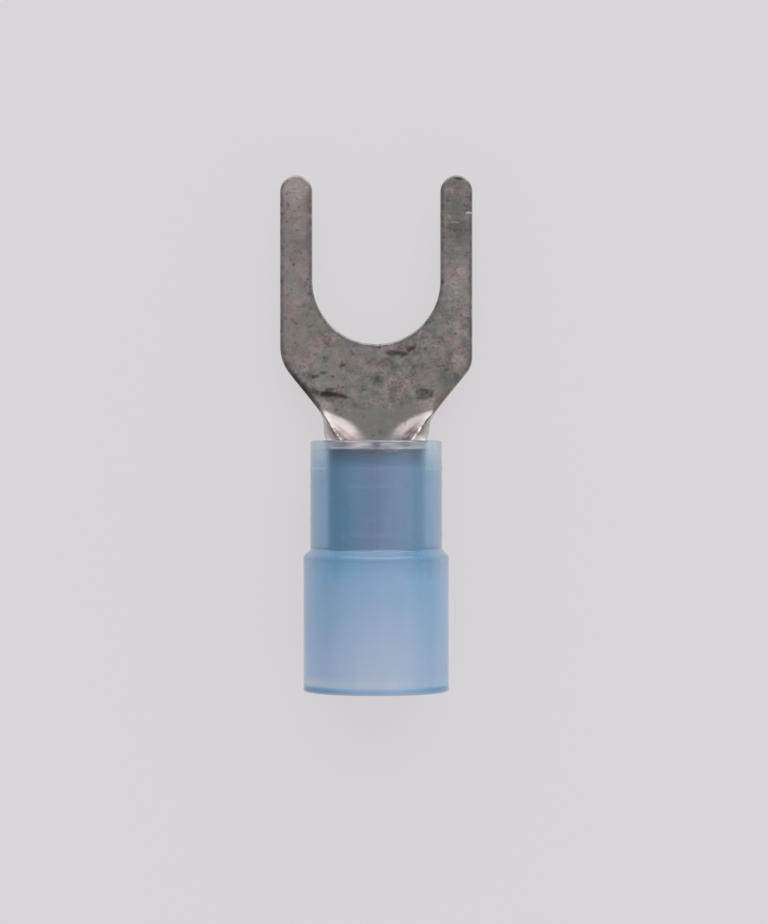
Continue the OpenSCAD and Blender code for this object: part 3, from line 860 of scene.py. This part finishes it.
def makeNylon():
    made, coords, output = startMaterial("blueNylon")
    n, paint = nylon, paints(nylon)
    outside = coords.node("ShaderNodeAttribute", {"attribute_name": "outside"}, None, "Fac")
    roughness = n["insideRough"] + outside * (n["roughness"] - n["insideRough"])
    clear = coords.node("ShaderNodeBsdfPrincipled", None, {
        "Base Color": (1, 1, 1, 1), "Roughness": roughness, "IOR": n["ior"], "Transmission Weight": 1.0})
    across, along = coords.axis(0), coords.axis(1)
    aside = across.unsigned()

    # the middle is rosier than the parts beside it, with faint clouds and streaks along the part
    off = (across - n["rosyMiddle"] * mm).unsigned()
    rosy = 1 - off.zone(*n["rosySides"]) + (coords.noise(*n["clouds"]) - 0.5) * n["cloudGain"]
    rosy = rosy - along.within(*places(endY, n["blueZone"])) * n["blueGain"]
    streaks = coords.placed((0, 0, 0), 0, n["streakSize"]).noise(*n["streaks"]) - 0.5

    # narrow part
    beside = aside.zone(*n["wallSides"])
    flank = beside.ramp(0.0, n["flankFull"])
    lip = flank * along.zone(*places(rimY, n["lipZone"]))
    thin = along.zone(*places(rimY, n["thinZone"])) * (1 - flank)
    wall = aside.zone(*n["paleSides"]).mixed(paint["pale"], paint["paleEdge"])
    barrel = rosy.mixed(paint["overBarrel"], paint["midBarrel"])
    narrow = lip.mixed(beside.mixed(barrel, wall), paint["lip"])
    narrowShare = n["barrelShare"] * (1 - thin * (1 - n["frontShare"]))
    narrowShare = narrowShare * (1 + beside.atLeast(lip) * (n["sideShare"] - 1))

    # wide part, lighter towards the wire end
    wide = 1 - along.zone(*places(endY, n["wideZone"]))
    low = 1 - along.zone(tailY + n["entryEnd"], endY + n["funnelEnd"], False)
    funnel = rosy.mixed(paint["overFunnel"], paint["midFunnel"])
    deep = low.mixed(funnel, rosy.mixed(paint["overEntry"], paint["midEntry"]))
    deep = aside.zone(*n["entrySides"]).mixed(deep, paint["entrySide"])
    deep = deep.times(across.zone(*n["castSides"]).mixed(paint["leftCast"], paint["rightCast"]), low)
    band = (1 - along.zone(*places(tailY, n["bandZone"]))) * (1 - across.zone(*n["bandEnd"]) * n["bandLoss"])
    deep = (band * n["bandShare"]).mixed(deep, paint["band"])
    wideShare = n["entryShare"] + aside.zone(*n["entryShareSides"]) * (n["entrySideShare"] - n["entryShare"])

    # the two rims, and the faint rings
    tail = 1 - along.zone(*places(tailY, n["tailZone"]))
    end = 1 - along.zone(*places(tailY, n["endZone"]))
    frontEdge = along.zone(*places(rimY, n["frontEdgeZone"])) * (1 - flank)
    face = along.zone(*places(frontY, n["faceZone"]))
    rim = aside.zone(*n["tailSides"]).mixed(paint["tail"], paint["tailSide"])
    milk = tail.mixed(wide.mixed(narrow, deep), end.mixed(rim, paint["tailEnd"]))
    milk = face.mixed(frontEdge.mixed(milk, paint["frontEdge"]), paint["lip"])
    share = narrowShare + wide * (wideShare - narrowShare)
    share = share * (1 + streaks * (n["streakGain"][0] - wide * n["streakGain"][1]))
    # painted highlight along each ring, given as more milk
    for ring, ringMilk in zip(sleeve["rings"], sleeve["ringMilk"]):
        line = 1 - (along - (frontY - ring) * mm).unsigned().zone(0, n["ringSpread"])
        share = share + line * coords.noise(*n["ringNoise"]).ramp(*n["ringFrom"]) * ringMilk
    share = share + along.within(*places(endY, n["veilZone"])) * n["veilShare"]
    share = share + tail * (n["tailShare"] - share)
    share = share + frontEdge * (n["frontEdgeShare"] - share)
    share = share + face * (n["faceShare"] - share)

    # a milky skin on the outside, over a clear body that takes up light
    milky = coords.node("ShaderNodeBsdfPrincipled", None, {
        "Base Color": milk, "Roughness": n["roughness"], "IOR": n["ior"]})
    both = coords.node("ShaderNodeMixShader", None, {0: outside * share, 1: clear, 2: milky})
    body = coords.node("ShaderNodeVolumeAbsorption", None, {
        "Color": (*n["passes"], 1), "Density": n["density"]})
    made.node_tree.links.new(both.socket, output.inputs["Surface"])
    made.node_tree.links.new(body.socket, output.inputs["Volume"])
    return made


makeCamera()
makeFloor()
makeWorld()
print("camera, floor and light made")
makeTerminal(makeTin())
makeSleeve(makeNylon())
print("pieces made")
bpy.context.scene.view_settings.view_transform = "Standard"
